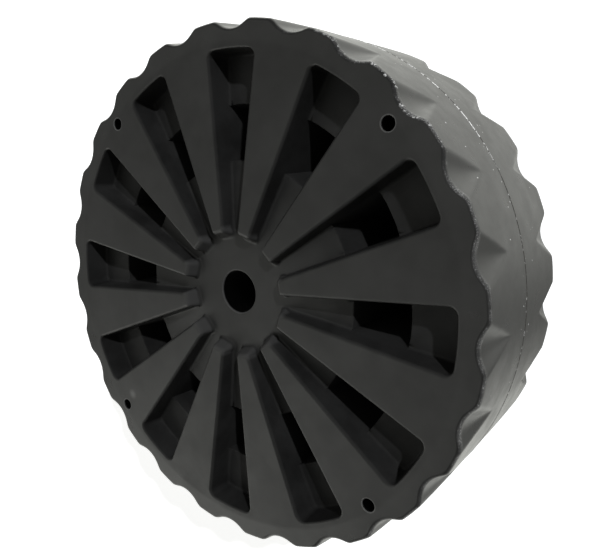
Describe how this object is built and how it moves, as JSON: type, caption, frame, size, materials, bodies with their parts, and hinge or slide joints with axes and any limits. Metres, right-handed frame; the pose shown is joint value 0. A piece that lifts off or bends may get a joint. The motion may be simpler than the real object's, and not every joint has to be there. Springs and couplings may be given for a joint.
{
  "type": "dock wheel",
  "caption": "Moulded plastic wheel for rolling a dock section in and out of the water, with deep spokes, a scalloped tread and a central axle bore.",
  "frame": {"origin": "centre of the back face, on the bore's axis, where the wheel lies on the ground", "axes": "+Z along the axle bore towards the front face, +X towards the middle of a pocket"},
  "size_m": [0.6096, 0.6096, 0.2159],
  "materials": {
    "wheel": "fine matte grain"
  },
  "bodies": {
    "root": {"wheel": "wheel"}
  },
  "joints": []
}
